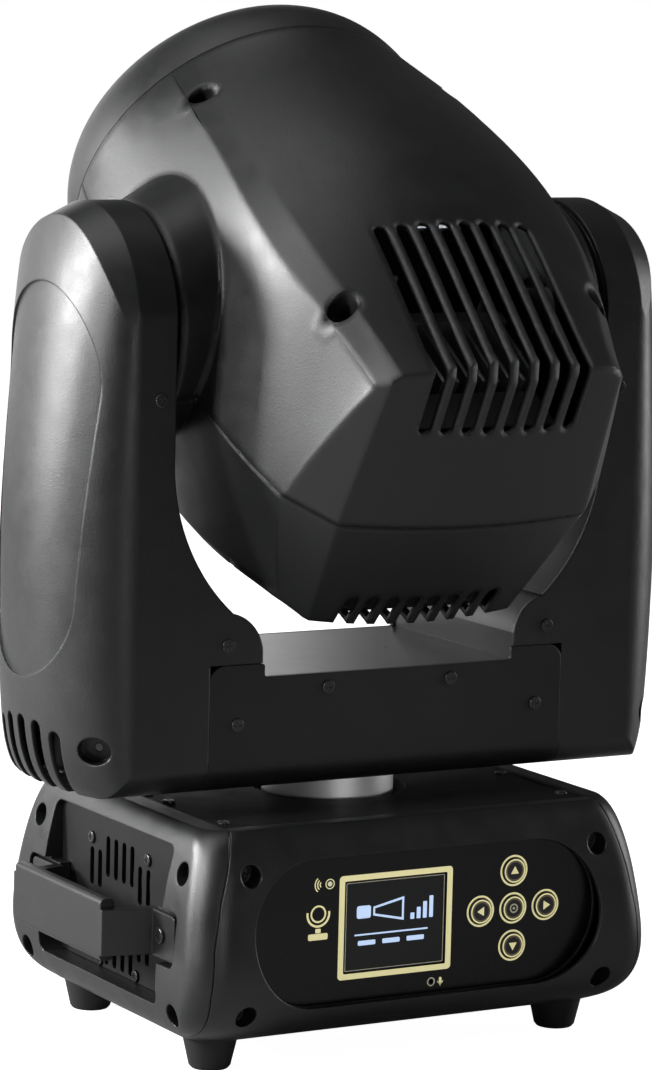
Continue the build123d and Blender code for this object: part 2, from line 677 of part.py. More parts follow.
# ---- crossbar covers: a flat plate with raised ears, rounded under the crossbar
for name, side in (("crossbar_front_cover", -1), ("crossbar_rear_cover", 1)):
    with BuildPart() as plate:
        with BuildSketch(lengthwise(-PLATE_X)):
            with BuildLine():
                Polyline((side * YOKE_HALF_Y, YOKE_Z + 14), (side * YOKE_HALF_Y, PLATE_TOP_Z),
                         (side * (YOKE_HALF_Y - 2.2), PLATE_TOP_Z), (side * (YOKE_HALF_Y - 2.2), YOKE_Z + 14))
                RadiusArc((side * (YOKE_HALF_Y - 2.2), YOKE_Z + 14),
                          (side * (YOKE_HALF_Y - 14), YOKE_Z + 2.2), side * 11.8)
                Polyline((side * (YOKE_HALF_Y - 14), YOKE_Z + 2.2), (side * 40, YOKE_Z + 2.2),
                         (side * 40, YOKE_Z), (side * (YOKE_HALF_Y - 14), YOKE_Z))
                RadiusArc((side * (YOKE_HALF_Y - 14), YOKE_Z),
                          (side * YOKE_HALF_Y, YOKE_Z + 14), -side * 14)
            make_face()
        extrude(amount=2 * PLATE_X)
        with BuildSketch(across(-100)):
            with BuildLine():
                FilletPolyline((-PLATE_X, YOKE_Z - 5), (-PLATE_X, PLATE_TOP_Z), (-NOTCH_X, PLATE_TOP_Z),
                               (-NOTCH_X, CROSSBAR_Z), (NOTCH_X, CROSSBAR_Z), (NOTCH_X, PLATE_TOP_Z),
                               (PLATE_X, PLATE_TOP_Z), (PLATE_X, YOKE_Z - 5), radius=[8, 1.5, 1.5, 1.5, 1.5, 8])
                Line((PLATE_X, YOKE_Z - 5), (-PLATE_X, YOKE_Z - 5))
            make_face()
        extrude(amount=-200, mode=Mode.INTERSECT)
    save(drill(plate.part, [p for p in yoke_screw_places if p.origin.Y * side > 0], 1.7, 5), name)

# ---- arm covers with a shallow oval panel, louvres and one screw well
OVAL_TOP_Z, OVAL_TOP_R = 334.5, 50.5
OVAL_LOW_Z, OVAL_LOW_R = 233.0, 42.5
ARM_SLOTS = [(-28.6, 166.5), (-14.3, 170.0), (0, 171.0), (14.3, 170.0), (28.6, 166.5)]   # y and top z


def oval_prism(side, shrink):
    with BuildPart() as prism:
        with BuildSketch(lengthwise(side * 120)):
            with Locations((0, OVAL_TOP_Z)):
                Circle(OVAL_TOP_R - shrink)
            with Locations((0, OVAL_LOW_Z)):
                Circle(OVAL_LOW_R - shrink)
            make_hull()
        extrude(amount=side * 80)
    return prism.part


for name, side in (("arm_cover_left", -1), ("arm_cover_right", 1)):
    skin = arm_form(side, 0)
    with BuildPart() as recess_skin:
        add(oval_prism(side, 0))
        add(arm_form(side, 1.3), mode=Mode.SUBTRACT)
    # blind screw cups near the foot of the arm
    wells = [Plane(origin=(side * 163.0, sy * 54.0, 159.5), z_dir=(side * 0.62, sy * 0.785, 0)) for sy in (-1, 1)]
    with BuildPart() as cups:
        for well in wells:
            with BuildSketch(well.offset(-18)):
                Ellipse(10.8, 9.0)
            extrude(amount=16)
        add(skin, mode=Mode.INTERSECT)
    with BuildPart() as arm_space:
        add(arm_form(side, 2.4))
        add(side_profile(YOKE_HALF_Y - 2.4, ARM_R - 2.6, YOKE_Z + 2.4, YOKE_EDGE_R - 2.4), mode=Mode.INTERSECT)
        add(shoulder_ring(side, 2.6), mode=Mode.SUBTRACT)
    with BuildPart() as cover:
        add(skin)
        add(recess_skin.part, mode=Mode.SUBTRACT)
        add(side_profile(YOKE_HALF_Y, ARM_R, YOKE_Z, YOKE_EDGE_R), mode=Mode.INTERSECT)
        add(shoulder_ring(side, 0), mode=Mode.SUBTRACT)
        add(arm_face_region(side), mode=Mode.INTERSECT)
        add(arm_space.part, mode=Mode.SUBTRACT)
        with BuildSketch(lengthwise(side * 146)):
            for y, top in ARM_SLOTS:
                with Locations((y, 144.5)):
                    SlotOverall(2 * (top - 144.5), 8.2, 90)
        extrude(amount=side * 50, mode=Mode.SUBTRACT)
        add(cups.part)
        for well in wells:
            with BuildSketch(well.offset(-16)):
                Ellipse(8.8, 7.0)
            extrude(amount=46, mode=Mode.SUBTRACT)
            with BuildSketch(well.offset(-20)):
                Circle(2.0)
            extrude(amount=10, mode=Mode.SUBTRACT)
    save(drill(cover.part, [p for p in yoke_screw_places if p.origin.X * side > 0], 1.7, 5), name)

# ---- pan shaft, tilt drive, bearings
with BuildPart() as pan_shaft:
    with BuildSketch(Plane.XY.offset(PULLEY_Z - 6)):
        Circle(COLLAR_R)
    extrude(amount=FRAME_Z + 9 - PULLEY_Z + 6)
    with BuildSketch(Plane.XY.offset(FRAME_Z + 9)):
        Circle(COLLAR_R + 6)
    extrude(amount=3)
    with BuildSketch(Plane.XY.offset(PULLEY_Z - 6)):
        Circle(COLLAR_R + 4)
    extrude(amount=5.8)
    with BuildSketch(Plane.XY.offset(PULLEY_Z - 8)):
        Circle(COLLAR_BORE)
    extrude(amount=100, mode=Mode.SUBTRACT)
save(pan_shaft.part, "pan_shaft")

tilt_bearings = []
for side in (-1, 1):
    with BuildPart() as bearing:
        with BuildSketch(lengthwise(side * (ARM_IN_X + SHEET))):
            with Locations((0, TILT_Z)):
                Circle(BEARING_R)
                Circle(TRUNNION_R + 0.05, mode=Mode.SUBTRACT)
        extrude(amount=side * 9)
        with BuildSketch(lengthwise(side * (ARM_IN_X + SHEET + 8))):
            with Locations((0, TILT_Z)):
                Circle(BEARING_R - 2.5)
                Circle(TRUNNION_R + 2.5, mode=Mode.SUBTRACT)
        extrude(amount=side * 2, mode=Mode.SUBTRACT)
    tilt_bearings.append(bearing.part.solid())
save(Compound(children=tilt_bearings), "tilt_bearings")

TILT_PLANE = Plane(origin=(-TILT_BELT_X + 6.0, 0, TILT_MOTOR_Z), x_dir=(0, 0, 1), z_dir=(-1, 0, 0))
TILT_TOP_PLANE = Plane(origin=(-TILT_BELT_X + 6.0, 0, TILT_Z), x_dir=(0, 0, 1), z_dir=(-1, 0, 0))
save(pulley(TILT_PLANE, MOTOR_PULLEY_R, 2.55, 16, BELT_W), "tilt_motor_pulley")
save(pulley(TILT_TOP_PLANE, TILT_PULLEY_R, TRUNNION_R + 0.1, 58, BELT_W), "tilt_pulley")
save(belt_between(TILT_PLANE.offset(2.0), (TILT_Z - TILT_MOTOR_Z, 0), MOTOR_PULLEY_R, TILT_PULLEY_R, BELT_W),
     "tilt_belt")
MOTOR_FACE_X = -(FRAME_OUT_X - SHEET)
with BuildPart() as tilt_motor:
    with BuildSketch(lengthwise(MOTOR_FACE_X)):
        with Locations((0, TILT_MOTOR_Z)):
            RectangleRounded(MOTOR_SIDE, MOTOR_SIDE, 4)
    extrude(amount=34)
    with BuildSketch(lengthwise(MOTOR_FACE_X)):
        with Locations((0, TILT_MOTOR_Z)):
            Circle(11)
    extrude(amount=-2)
    with BuildSketch(lengthwise(MOTOR_FACE_X)):
        with Locations((0, TILT_MOTOR_Z)):
            Circle(2.5)
    extrude(amount=-20)
save(tilt_motor.part, "tilt_motor")


# ================================================================= HEAD
# The head is drawn about its optical axis: x across, u up, a forward along the axis.
AXIS = Vector(0, sin(radians(TILT_REST)), cos(radians(TILT_REST)))
UP = Vector(0, -cos(radians(TILT_REST)), sin(radians(TILT_REST)))
PIVOT = Vector(0, 0, TILT_Z)


def head_point(x, a, u):
    return PIVOT + Vector(x, 0, 0) + AXIS * a + UP * u


def head_plane(a, x=0.0, u=0.0):
    """Square to the optical axis: local X runs to -X, local Y runs up the head."""
    return Plane(origin=head_point(x, a, u), x_dir=(-1, 0, 0), z_dir=AXIS)


def level_plane(u, x=0.0, a=0.0):
    """Parallel to the optical axis: local X runs to +X, local Y runs forward."""
    return Plane(origin=head_point(x, a, u), x_dir=(1, 0, 0), z_dir=UP)


# sections of the shell: a, top, side, bottom, then corner points (x, u) of the chamfers,
# upper outer, upper inner, lower inner, lower outer
HEAD_SECTIONS = [
    (50.0, 108.0, 107.0, 107.0, (73.5, 90.0), (82.5, 82.0), (82.5, -80.0), (73.5, -88.0)),
    (-10.0, 112.5, 108.0, 110.0, (78.0, 96.0), (88.0, 86.0), (87.0, -83.0), (76.0, -92.5)),
    (-56.0, 108.3, 106.0, 107.0, (75.5, 96.0), (87.0, 84.5), (85.5, -82.0), (74.0, -92.0)),
    (-95.0, 101.0, 100.0, 93.5, (68.5, 92.0), (79.0, 81.5), (78.0, -77.0), (68.0, -84.0)),
    (-165.0, 87.8, 79.0, 77.0, (63.0, 84.0), (72.0, 72.0), (70.0, -62.0), (60.0, -72.0)),
]


SIDE_BULGE = 1.0
REAR_R = 420.0
SWING_R = 168.8
REAR_A, PARTING_U = -154.5, 2.5


def drawn_in(point, shift):
    x, u = point
    return (x - shift, u - shift if u > 0 else u + shift)


def head_form(inset):
    """Outer form of the head shell, drawn in by a wall thickness."""
    with BuildPart() as form:
        with BuildSketch(head_plane(BEZEL_A)):
            with BuildLine():
                angles = [0, 40, 50, 130, 140, 180, 220, 230, 310, 320, 360]
                for start, end in zip(angles, angles[1:]):
                    CenterArc((0, 0), BEZEL_R - inset, start, end - start)
            make_face()
        for a, top, side, bottom, *corners in HEAD_SECTIONS:
            ou, iu, il, ol = (drawn_in(p, inset * 0.72) for p in corners)
            top, side, bottom = top - inset, side - inset, bottom - inset
            mid_up = ((iu[0] + side) / 2 + SIDE_BULGE, iu[1] / 2)
            mid_low = ((il[0] + side) / 2 + SIDE_BULGE, il[1] / 2)
            with BuildSketch(head_plane(a)):
                with BuildLine():
                    ThreePointArc((side, 0), mid_up, iu)
                    Line(iu, ou)
                    ThreePointArc(ou, (0, top), (-ou[0], ou[1]))
                    Line((-ou[0], ou[1]), (-iu[0], iu[1]))
                    ThreePointArc((-iu[0], iu[1]), (-mid_up[0], mid_up[1]), (-side, 0))
                    ThreePointArc((-side, 0), (-mid_low[0], mid_low[1]), (-il[0], il[1]))
                    Line((-il[0], il[1]), (-ol[0], ol[1]))
                    ThreePointArc((-ol[0], ol[1]), (0, -bottom), ol)
                    Line(ol, il)
                    ThreePointArc(il, mid_low, (side, 0))
                make_face()
        loft()
        # rear faces: two very large cylinders that meet at the parting line
        for (a_far, u_far) in ((-142.0, 92.0), (-144.0, -71.0)):
            lean = AXIS * (a_far - REAR_A) + UP * (u_far - PARTING_U)
            middle = head_point(0, REAR_A + REAR_R + inset, PARTING_U)
            with Locations(Plane(origin=middle, x_dir=(1, 0, 0), z_dir=lean)):
                Cylinder(REAR_R, 900.0, mode=Mode.INTERSECT)
        # the ridge is rounded off to swing clear of the crossbar
        with Locations(Plane(origin=PIVOT, z_dir=(1, 0, 0))):
            Cylinder(SWING_R - inset, 400.0, mode=Mode.INTERSECT)
        # chamfers down the four rear corners
        for s in (-1, 1):
            for far in ((66.0, -138.5, 90.5), (61.0, -140.0, -72.0)):
                p0 = head_point(s * 75.0, -147.3, PARTING_U)
                p1 = head_point(s * 89.0, -131.5, PARTING_U)
                p2 = head_point(s * far[0], far[1], far[2])
                outward = (p1 - p0).cross(p2 - p0).normalized()
                if outward.dot(AXIS) > 0:
                    outward = outward * -1
                base = p0 - outward * inset
                with BuildSketch(Plane(origin=base, x_dir=(p1 - p0), z_dir=outward)):
                    Rectangle(300, 400)
                extrude(amount=80, mode=Mode.SUBTRACT)
    return form.part


SHELL = 2.6
head_skin = head_form(0)
head_space = head_form(SHELL)

BOSS_ROOT_X, BOSS_ROOT_R, BOSS_ROOT_SHIFT = 84.0, 67.0, 16.0


def boss_form(side, inset):
    """Flared boss from the head's flank out to the arm, drawn in by a wall thickness."""
    shift = AXIS * BOSS_ROOT_SHIFT
    with BuildPart() as boss:
        with BuildSketch(lengthwise(side * (BOSS_ROOT_X - inset))):
            with Locations((shift.Y, TILT_Z + shift.Z)):
                Circle(BOSS_ROOT_R - inset)
        with BuildSketch(lengthwise(side * (BOSS_END_X - inset))):
            with Locations((0, TILT_Z)):
                Circle(BOSS_R - inset)
        loft()
    return boss.part


with BuildPart() as head_walls:
    add(head_skin)
    for s in (-1, 1):
        add(boss_form(s, 0))
    boss_rims = head_walls.edges().filter_by(lambda e: abs(abs(e.center().X) - BOSS_END_X) < 0.1)
    chamfer(boss_rims, 1.5)
    add(head_space, mode=Mode.SUBTRACT)
    for s in (-1, 1):
        add(boss_form(s, 3.0), mode=Mode.SUBTRACT)
        with BuildSketch(lengthwise(s * 60)):
            with Locations((0, TILT_Z)):
                Circle(20.3)
        extrude(amount=s * 80, mode=Mode.SUBTRACT)

# screw wells (x, a, |u| of the rim) and louvres
WELLS = [(71.5, -95.1, 89.0), (72.0, 77.0, 84.0)]
WELL_R, WELL_DEEP = 6.7, 15.0
SLOT_PITCH, SLOT_W = 11.5, 7.4
slot_xs = [(i - 3.5) * SLOT_PITCH for i in range(8)]
# louvres run over two facets: (a, u) of their front end, the ridge, their rear end
LOUVRES = {1: [(-56.5, 108.3), (-142.0, 92.0), (-147.0, 53.5)],
           -1: [(-104.0, -90.5), (-144.0, -71.0), (-148.0, -52.0)]}
# light baffle behind the lower louvres, as (a, u) corners
BAFFLE = [(-137.7, -72.5), (-135.9, -73.4), (-140.4, -52.0), (-142.1, -52.0)]


def facet_plane(start, end, up):
    """Plane of a facet between two (a, u) points, origin at start, local Y towards end."""
    p0, p1 = head_point(0, *start), head_point(0, *end)
    along = (p1 - p0).normalized()
    out = along.cross(Vector(1, 0, 0))
    if out.dot(UP) * up < 0:
        out = out * -1
    return Plane(origin=p0, x_dir=along.cross(out), z_dir=out), (p1 - p0).length


for name, up in (("upper_shell", 1), ("lower_shell", -1)):
    with BuildPart() as cups:
        for x, a, u in WELLS:
            for s in (-1, 1):
                with BuildSketch(level_plane(up * (u - WELL_DEEP - 3), s * x, a)):
                    Circle(WELL_R + 2.0)
                extrude(amount=up * 40)
        add(head_skin, mode=Mode.INTERSECT)
    with BuildPart() as shell:
        add(head_walls.part)
        add(cups.part)
        with BuildSketch(level_plane(up * 0.15)):
            Rectangle(500, 500)
        extrude(amount=up * 200, mode=Mode.INTERSECT)
        for x, a, u in WELLS:
            for s in (-1, 1):
                with BuildSketch(level_plane(up * (u - WELL_DEEP), s * x, a)):
                    Circle(WELL_R)
                extrude(amount=up * 50, mode=Mode.SUBTRACT)
                with BuildSketch(level_plane(up * (u - WELL_DEEP - 5), s * x, a)):
                    Circle(2.0)
                extrude(amount=up * 50, mode=Mode.SUBTRACT)
        front, ridge, rear = LOUVRES[up]
        for start, end, lead, tail in ((front, ridge, 0, 9), (ridge, rear, -9, 0)):
            plane, run = facet_plane(start, end, up)
            with BuildSketch(plane.offset(-11)):
                with Locations(*[(x, (run + lead + tail) / 2) for x in slot_xs]):
                    SlotOverall(run - lead + tail, SLOT_W, 90)
            extrude(amount=17, mode=Mode.SUBTRACT)
        if up < 0:
            with BuildSketch(Plane(origin=head_point(-46.0, 0, 0), x_dir=AXIS, z_dir=(1, 0, 0))):
                with BuildLine():
                    Polyline(*BAFFLE, close=True)
                make_face()
            extrude(amount=92)
    save(shell.part, name)

head_screw_places = [level_plane(up * (u - WELL_DEEP), s * x, a) if up > 0 else
                     Plane(origin=head_point(s * x, a, -(u - WELL_DEEP)), x_dir=(1, 0, 0), z_dir=UP * -1)
                     for up in (1, -1) for x, a, u in WELLS for s in (-1, 1)]
save(Compound(children=screw_solids(head_screw_places, 4.0, 2.0, 1.9, 7)), "head_screws")

# ---- front ring and lens, turned about the optical axis
head_axis = Axis(PIVOT, AXIS)
with BuildPart() as bezel:
    with BuildSketch(level_plane(0)):
        with BuildLine():
            outer_curve = Spline((BEZEL_R, BEZEL_A + 0.3), (99.4, 125.0), (96.0, 136.0), (91.5, 143.8))
            Polyline(outer_curve @ 1, (88.5, 146.0), (85.0, 146.0), (82.6, 143.0), (82.6, 124.8), (78.0, 124.8),
                     (78.0, 121.0), (92.0, 117.0), (98.0, BEZEL_A + 0.3), outer_curve @ 0)
        make_face()
    revolve(axis=head_axis)
save(bezel.part, "front_bezel")

LENS_R, LENS_DOME_R = 82.3, 549.0
with BuildPart() as lens:
    with BuildSketch(head_plane(LENS_A - 3)):
        Circle(LENS_R)
    extrude(amount=10.2)
    with Locations(head_plane(LENS_A + 7.2 - LENS_DOME_R)):
        Sphere(LENS_DOME_R, mode=Mode.INTERSECT)
save(lens.part, "front_lens")

# ---- chassis, trunnions
SIDE_X, CHASSIS_REAR, CHASSIS_FRONT = 86.0, -67.0, 33.0
with BuildPart() as chassis:
    for s in (-1, 1):
        with BuildSketch(Plane(origin=head_point(s * SIDE_X, 0, 0), x_dir=AXIS, z_dir=(s, 0, 0))):
            with Locations(((CHASSIS_REAR + CHASSIS_FRONT) / 2, 0)):
                Rectangle(CHASSIS_FRONT - CHASSIS_REAR, 64)
            Circle(10.5, mode=Mode.SUBTRACT)
        extrude(amount=3)
    for a, hole in ((CHASSIS_REAR, 0), (CHASSIS_FRONT - 3, 30)):
        with BuildSketch(head_plane(a)):
            Rectangle(2 * SIDE_X + 2, 64)
            if hole:
                Circle(hole, mode=Mode.SUBTRACT)
                with Locations((-46, 0), (46, 0)):
                    Circle(3.05, mode=Mode.SUBTRACT)
            else:
                Rectangle(104, 66, mode=Mode.SUBTRACT)
        extrude(amount=3)
save(chassis.part, "head_chassis")

trunnions = []
for s, reach in ((-1, 158.0), (1, 142.0)):
    with BuildPart() as trunnion:
        with BuildSketch(lengthwise(s * (SIDE_X + 3.05))):
            with Locations((0, TILT_Z)):
                Circle(27)
        extrude(amount=s * 4)
        with BuildSketch(lengthwise(s * (SIDE_X + 3.05))):
            with Locations((0, TILT_Z)):
                Circle(TRUNNION_R)
        extrude(amount=s * (reach - SIDE_X - 3.05))
        with BuildSketch(lengthwise(s * 80)):
            with Locations((0, TILT_Z)):
                Circle(10)
        extrude(amount=s * 100, mode=Mode.SUBTRACT)
    trunnions.append(trunnion.part.solid())
save(Compound(children=trunnions), "trunnions")

# ---- light engine
with BuildPart() as heat_sink:
    with BuildSketch(head_plane(-64)):
        Rectangle(100, 100)
    extrude(amount=8)
    with BuildSketch(head_plane(-64)):
        with GridLocations(7.6, 0, 13, 1):
            Rectangle(1.8, 100)
    extrude(amount=-44)
save(heat_sink.part, "heat_sink")

with BuildPart() as led_module:
    with BuildSketch(head_plane(-56)):
        RectangleRounded(50, 50, 3)
    extrude(amount=5)
    with BuildSketch(head_plane(-51)):
        Circle(22)
    extrude(amount=22, taper=8)
    with BuildSketch(head_plane(-47)):
        Circle(14)
    extrude(amount=30, mode=Mode.SUBTRACT)
save(led_module.part, "led_module")

FAN_REAR, FAN_FRONT = -137.0, -112.0
with BuildPart() as fan_housing:
    with BuildSketch(head_plane(FAN_REAR)):
        RectangleRounded(92, 92, 4)
        Circle(43.5, mode=Mode.SUBTRACT)
        with GridLocations(82.5, 82.5, 2, 2):
            Circle(2.2, mode=Mode.SUBTRACT)
    extrude(amount=FAN_FRONT - FAN_REAR)
    with BuildSketch(head_plane(FAN_REAR)):
        Circle(19)
        with PolarLocations(0, 4, 45):
            with Locations((31, 0)):
                Rectangle(26, 4)
    extrude(amount=3)
    with BuildSketch(head_plane(FAN_REAR + 2)):
        Circle(2.5)
    extrude(amount=18)
save(fan_housing.part, "fan_housing")

BLADES = 7
with BuildPart() as fan_rotor:
    with BuildSketch(head_plane(FAN_REAR + 4)):
        Circle(18)
    extrude(amount=19)
    blade_z = FAN_REAR + 6
    for k in range(BLADES):
        turn = k * 360 / BLADES
        with BuildSketch(head_plane(blade_z)):
            with Locations(Rotation(0, 0, turn)):
                with Locations((29.5, 0)):
                    Rectangle(25.5, 2.0)
        with BuildSketch(head_plane(blade_z + 15)):
            with Locations(Rotation(0, 0, turn + 32)):
                with Locations((29.5, 0)):
                    Rectangle(25.5, 2.0)
        loft()
    with BuildSketch(head_plane(FAN_REAR)):
        Circle(2.55)
    extrude(amount=30, mode=Mode.SUBTRACT)
save(fan_rotor.part, "fan_rotor")

WHEELS = {"colour_wheel": (-22.0, 11.5), "gobo_wheel": (-14.0, 9.5)}
for name, (a, hole_r) in WHEELS.items():
    with BuildPart() as wheel:
        with BuildSketch(head_plane(a, 0, WHEEL_U)):
            Circle(WHEEL_R)
            with PolarLocations(-WHEEL_U - 1.5, 8, 90):
                Circle(hole_r, mode=Mode.SUBTRACT)
        extrude(amount=1.5)
        with BuildSketch(head_plane(a - (1.5 if name == "colour_wheel" else 0), 0, WHEEL_U)):
            Circle(9)
        extrude(amount=3.0)
        with BuildSketch(head_plane(a - 5, 0, WHEEL_U)):
            Circle(2.05)
        extrude(amount=12, mode=Mode.SUBTRACT)
    save(wheel.part, name)

# three identical small stepper motors: colour wheel, gobo wheel, focus screw
FOCUS_U = -50.0
MOTORS = [(-55.0, 1, WHEEL_U, 7.0), (23.0, -1, WHEEL_U, 9.0), (CHASSIS_FRONT, 1, FOCUS_U, 50.0)]
motors = []
for a, way, u, shaft in MOTORS:
    with BuildPart() as motor:
        with BuildSketch(head_plane(a, 0, u)):
            RectangleRounded(27, 27, 3)
        extrude(amount=way * 29)
        with BuildSketch(head_plane(a, 0, u)):
            Circle(2.0)
        extrude(amount=way * (29 + shaft))
    motors.append(motor.part.solid())
save(Compound(children=motors), "stepper_motors")

ROD_X = 46.0
rods = []
for s in (-1, 1):
    with BuildPart() as rod:
        with BuildSketch(head_plane(CHASSIS_FRONT - 3, s * ROD_X)):
            Circle(3)
        extrude(amount=85)
    rods.append(rod.part.solid())
save(Compound(children=rods), "focus_rods")

CARRIAGE_A = 74.0
with BuildPart() as carriage:
    with BuildSketch(head_plane(CARRIAGE_A)):
        Circle(36)
        Rectangle(2 * ROD_X + 16, 16)
        with Locations((0, FOCUS_U / 2 - 4)):
            Rectangle(16, -FOCUS_U)
        with Locations((-ROD_X, 0), (ROD_X, 0)):
            Circle(3.06, mode=Mode.SUBTRACT)
        with Locations((0, FOCUS_U)):
            Circle(2.06, mode=Mode.SUBTRACT)
    extrude(amount=10)
    with BuildSketch(head_plane(CARRIAGE_A - 1)):
        Circle(31)
    extrude(amount=12, mode=Mode.SUBTRACT)
with BuildPart() as focus_glass:
    with BuildSketch(head_plane(CARRIAGE_A + 2)):
        Circle(31.0)
    extrude(amount=9.2)
    with Locations(head_plane(CARRIAGE_A + 11.2 - 118.0)):
        Sphere(118.0, mode=Mode.INTERSECT)
with BuildPart() as carriage_full:
    add(carriage.part)
    add(focus_glass.part)
save(carriage_full.part, "focus_carriage")
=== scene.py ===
import json
import math

import bmesh
import bpy
from mathutils import Matrix, Vector


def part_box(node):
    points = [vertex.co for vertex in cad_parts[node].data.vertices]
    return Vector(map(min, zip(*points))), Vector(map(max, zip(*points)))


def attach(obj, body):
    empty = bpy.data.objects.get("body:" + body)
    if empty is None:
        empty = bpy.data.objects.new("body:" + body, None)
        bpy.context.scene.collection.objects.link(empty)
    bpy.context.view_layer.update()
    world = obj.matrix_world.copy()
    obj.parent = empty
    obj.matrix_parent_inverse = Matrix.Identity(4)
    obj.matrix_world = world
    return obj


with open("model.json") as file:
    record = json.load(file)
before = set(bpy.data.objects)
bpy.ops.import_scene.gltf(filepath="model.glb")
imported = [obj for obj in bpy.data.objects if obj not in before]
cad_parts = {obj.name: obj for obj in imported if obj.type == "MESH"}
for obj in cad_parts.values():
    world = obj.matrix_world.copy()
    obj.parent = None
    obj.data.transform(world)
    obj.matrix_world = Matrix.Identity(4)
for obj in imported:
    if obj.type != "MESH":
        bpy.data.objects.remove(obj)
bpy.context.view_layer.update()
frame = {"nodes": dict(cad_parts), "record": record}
nodes = frame["nodes"]
MM = 0.001


# ------------------------------------------------------------------ materials
class Nodes:
    """A small helper round one material's node tree."""

    def __init__(self, name):
        self.mat = bpy.data.materials.new(name)
        self.mat.use_nodes = True
        self.tree = self.mat.node_tree
        self.bsdf = self.tree.nodes["Principled BSDF"]
        self.coord = self.tree.nodes.new("ShaderNodeTexCoord").outputs["Object"]

    def link(self, out, socket):
        self.tree.links.new(out, socket)

    def stretched(self, factors):
        node = self.tree.nodes.new("ShaderNodeMapping")
        node.inputs["Scale"].default_value = factors
        self.link(self.coord, node.inputs["Vector"])
        return node.outputs["Vector"]

    def noise(self, scale, detail=3.0, rough=0.55, vector=None):
        node = self.tree.nodes.new("ShaderNodeTexNoise")
        node.inputs["Scale"].default_value = scale
        node.inputs["Detail"].default_value = detail
        node.inputs["Roughness"].default_value = rough
        self.link(vector or self.coord, node.inputs["Vector"])
        return node.outputs["Fac"]

    def cells(self, scale, vector=None):
        node = self.tree.nodes.new("ShaderNodeTexVoronoi")
        node.inputs["Scale"].default_value = scale
        self.link(vector or self.coord, node.inputs["Vector"])
        return node.outputs["Distance"]

    def remap(self, value, low, high, to_low=0.0, to_high=1.0):
        node = self.tree.nodes.new("ShaderNodeMapRange")
        node.inputs["From Min"].default_value = low
        node.inputs["From Max"].default_value = high
        node.inputs["To Min"].default_value = to_low
        node.inputs["To Max"].default_value = to_high
        self.link(value, node.inputs["Value"])
        return node.outputs["Result"]

    def maths(self, kind, a, b):
        node = self.tree.nodes.new("ShaderNodeMath")
        node.operation = kind
        for socket, value in zip(node.inputs, (a, b)):
            if isinstance(value, (int, float)):
                socket.default_value = value
            else:
                self.link(value, socket)
        return node.outputs["Value"]

    def mix(self, fac, a, b):
        node = self.tree.nodes.new("ShaderNodeMix")
        node.data_type = "RGBA"
        for socket, value in ((node.inputs["Factor"], fac), (node.inputs["A"], a), (node.inputs["B"], b)):
            if isinstance(value, tuple):
                socket.default_value = (*value, 1.0)
            elif isinstance(value, (int, float)):
                socket.default_value = value
            else:
                self.link(value, socket)
        return node.outputs["Result"]

    def bevel(self, radius):
        node = self.tree.nodes.new("ShaderNodeBevel")
        node.samples = 4
        node.inputs["Radius"].default_value = radius
        return node.outputs["Normal"]

    def edge_mask(self, normal, low, high):
        geometry = self.tree.nodes.new("ShaderNodeNewGeometry")
        dot = self.tree.nodes.new("ShaderNodeVectorMath")
        dot.operation = "DOT_PRODUCT"
        self.link(normal, dot.inputs[0])
        self.link(geometry.outputs["Normal"], dot.inputs[1])
        away = self.maths("SUBTRACT", 1.0, dot.outputs["Value"])
        return self.remap(away, low, high)

    def bump(self, height, distance, strength, normal=None):
        node = self.tree.nodes.new("ShaderNodeBump")
        node.inputs["Distance"].default_value = distance
        node.inputs["Strength"].default_value = strength
        self.link(height, node.inputs["Height"])
        if normal is not None:
            self.link(normal, node.inputs["Normal"])
        return node.outputs["Normal"]

    def set(self, **values):
        for key, value in values.items():
            socket = self.bsdf.inputs[key.replace("_", " ")]
            socket.default_value = value


def shade(color, factor):
    return tuple(min(1.0, c * factor) for c in color)


def finish_of(name, color, rough, metallic=0.0, specular=0.5, edge=0.0005, wear=0.35, grain=1700.0,
              depth=0.00012, strength=0.35, tone=0.16, spread=0.09, brushed=None, coat=0.0, emission=None):
    """A worn real-world finish: tone and roughness drift, fine grain, soft and slightly rubbed edges."""
    n = Nodes(name)
    drift = n.noise(9.0, 4.0)
    mottle = n.noise(70.0, 5.0, 0.6)
    grain_vector = n.stretched(brushed) if brushed else None
    fine = n.noise(grain, 2.0, 0.6, grain_vector)
    blend = n.maths("ADD", n.maths("MULTIPLY", drift, 0.55), n.maths("MULTIPLY", mottle, 0.45))
    base = n.mix(n.remap(blend, 0.36, 0.64), shade(color, 1.0 - tone), shade(color, 1.0 + tone))
    base = n.mix(n.remap(fine, 0.35, 0.7, 0.0, 0.5), base, shade(color, 1.0 + 2.2 * tone))
    soft = n.bevel(edge)
    rub = n.maths("MULTIPLY", n.edge_mask(soft, 0.02, 0.30), n.remap(n.noise(160.0, 4.0), 0.35, 0.6))
    worn = shade(tuple(c + 0.012 for c in color), 1.7)
    base = n.mix(n.maths("MULTIPLY", rub, wear), base, worn)
    n.link(base, n.bsdf.inputs["Base Color"])
    rough_now = n.remap(n.maths("ADD", n.maths("MULTIPLY", mottle, 0.6), n.maths("MULTIPLY", fine, 0.4)),
                        0.3, 0.7, rough - spread, rough + spread)
    rough_now = n.maths("SUBTRACT", rough_now, n.maths("MULTIPLY", rub, 0.12))
    n.link(rough_now, n.bsdf.inputs["Roughness"])
    pits = n.cells(grain * 0.8, grain_vector)
    height = n.maths("ADD", n.maths("MULTIPLY", fine, 0.7), n.maths("MULTIPLY", pits, 0.5))
    n.link(n.bump(height, depth, strength, soft), n.bsdf.inputs["Normal"])
    n.set(Metallic=metallic, Specular_IOR_Level=specular, Coat_Weight=coat)
    if emission:
        n.set(Emission_Color=(*emission[0], 1.0), Emission_Strength=emission[1])
    return n.mat


